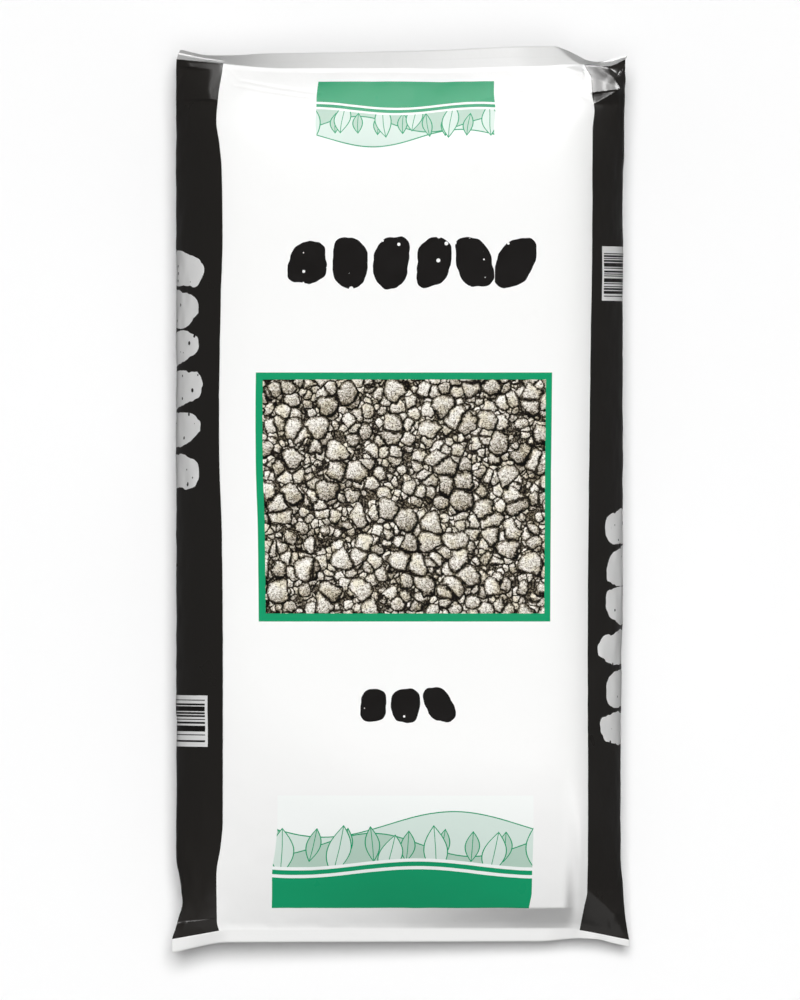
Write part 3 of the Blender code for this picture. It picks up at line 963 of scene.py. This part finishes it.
def ring_normals(points):
    """Outward normals of a grid of rings."""
    around = np.roll(points, -1, axis=1) - np.roll(points, 1, axis=1)
    length = np.gradient(points, axis=0)
    normal = np.cross(length, around)
    centre = points.mean(axis=1, keepdims=True)
    size = np.linalg.norm(normal, axis=-1, keepdims=True)
    normal = normal / np.maximum(size, 1e-9)
    outward = np.sign((normal * (points - centre)).sum())
    return normal * outward


def back_height(y):
    """Height of the back's middle, where it leaves the floor towards the top seal."""
    return float(curve(TOP_SEAL_HEIGHT, 0.0) * left_over(TOP_SEAL_Y - y, TOP_BACK_END, 1.8))


def cut_vents(mesh):
    """The film with round vents through its back near the top, deep enough to show the stone."""
    work = bmesh.new()
    for x, y in VENT_SPOTS:
        place = Matrix.Translation((x / 1000, y / 1000, back_height(y) / 1000))
        radius = VENT_RADIUS / 1000
        bmesh.ops.create_cone(
            work, cap_ends=True, segments=24, radius1=radius, radius2=radius, depth=VENT_DEPTH / 1000,
            matrix=place,
        )
    drill = bpy.data.meshes.new("vent_drill")
    work.to_mesh(drill)
    work.free()
    cutter = bpy.data.objects.new("vent_drill", drill)
    film = bpy.data.objects.new("film_uncut", mesh)
    for item in (cutter, film):
        bpy.context.scene.collection.objects.link(item)
    cut = film.modifiers.new("vents", "BOOLEAN")
    cut.operation = "DIFFERENCE"
    cut.solver = "EXACT"
    cut.object = cutter
    whole = bpy.data.meshes.new_from_object(film.evaluated_get(bpy.context.evaluated_depsgraph_get()))
    for item in (cutter, film):
        bpy.data.objects.remove(item)
    for polygon in whole.polygons:
        polygon.use_smooth = True
    return whole


def places_on(mesh, points, place):
    """Each point's place on the flat film, taken from the nearest points of the uncut film."""
    near = KDTree(len(points))
    for i, point in enumerate(points):
        near.insert(point / 1000, i)
    near.balance()
    found = np.empty((len(mesh.vertices), 3))
    for vertex in mesh.vertices:
        hits = near.find_n(vertex.co, 3)
        share = np.array([1 / (distance**2 + 1e-13) for _, _, distance in hits])
        found[vertex.index] = share @ place[[i for _, i, _ in hits]] / share.sum()
    return found


def build_film():
    points, place = whole_film()
    points = film_detail(points, place)
    mesh = cut_vents(closed_mesh("film_skin", points, tube_faces(len(points))))
    mesh.name = "film_skin"
    place = places_on(mesh, points.reshape(-1, 3), place.reshape(-1, 3))
    layer = mesh.attributes.new("film_place", "FLOAT_VECTOR", "POINT")
    layer.data.foreach_set("vector", place.astype(np.float32).ravel())
    assign_film(mesh, place)
    film = add_piece("film_skin", mesh, "film", "film_sack")
    return film


def build_filling():
    """The filling, a little inside the film all round."""
    along = stations()
    low, high = BOTTOM_SEAL_Y + HEAP_FROM_SEALS[0], TOP_SEAL_Y - HEAP_FROM_SEALS[1]
    x, y, top, bottom = body(along[(along > low) & (along < high)], shelves=0.0)
    middle, half = (top + bottom) / 2, (top - bottom) / 2
    half = np.maximum(half - HEAP_GAP, 0.3 * half)
    inner = rings(x * (1 - HEAP_NARROWER), y * (1 - HEAP_SHORTER), middle + half, middle - half)
    mesh = closed_mesh("pumice_heap", inner, tube_faces(len(inner)))
    mesh.materials.append(stone_material())
    return add_piece("pumice_heap", mesh, "pumice", "pumice_filling")


def build_studio():
    """A plain pale floor, soft lamps and a dim white world."""
    scene = bpy.context.scene
    mesh = bpy.data.meshes.new("studio_floor")
    corners = [(x * FLOOR_HALF, y * FLOOR_HALF, 0) for x, y in ((-1, -1), (1, -1), (1, 1), (-1, 1))]
    mesh.from_pydata(corners, [], [(0, 1, 2, 3)])
    floor = bpy.data.objects.new("studio_floor", mesh)
    scene.collection.objects.link(floor)
    floor.visible_diffuse = False
    floor.visible_glossy = False
    paint = Nodes("studio_floor")
    paint.shader.inputs["Base Color"].default_value = (0.94, 0.94, 0.94, 1)
    paint.shader.inputs["Roughness"].default_value = 0.9
    paint.shader.inputs["Specular IOR Level"].default_value = 0.0
    mesh.materials.append(paint.material)

    for name, energy, width, tilt, turn, lights, shines in LAMPS:
        lamp = bpy.data.lights.new(name, "SUN")
        lamp.energy = energy
        lamp.angle = math.radians(width)
        light = bpy.data.objects.new(name, lamp)
        light.rotation_euler = (math.radians(tilt), math.radians(turn), 0)
        light.visible_diffuse = lights
        light.visible_glossy = shines
        scene.collection.objects.link(light)

    world = bpy.data.worlds.new("studio")
    world.use_nodes = True
    sky = world.node_tree.nodes["Background"]
    sky.inputs["Color"].default_value = (1, 1, 1, 1)
    sky.inputs["Strength"].default_value = WORLD_LIGHT
    scene.world = world
    scene.view_settings.view_transform = "Standard"


def build_camera():
    """Straight above the sack, far off, so that the photograph's scale holds at every height."""
    data = bpy.data.cameras.new("camera")
    data.sensor_width = SENSOR
    data.lens = SENSOR * (CAMERA_HEIGHT - SCALE_LEVEL) / FRAME_HEIGHT
    data.clip_start = 0.1
    data.clip_end = 100.0
    camera = bpy.data.objects.new("camera", data)
    camera.location = (-0.0007, -0.0004, CAMERA_HEIGHT)
    bpy.context.scene.collection.objects.link(camera)
    bpy.context.scene.camera = camera


build_camera()
build_studio()
build_film()
build_filling()
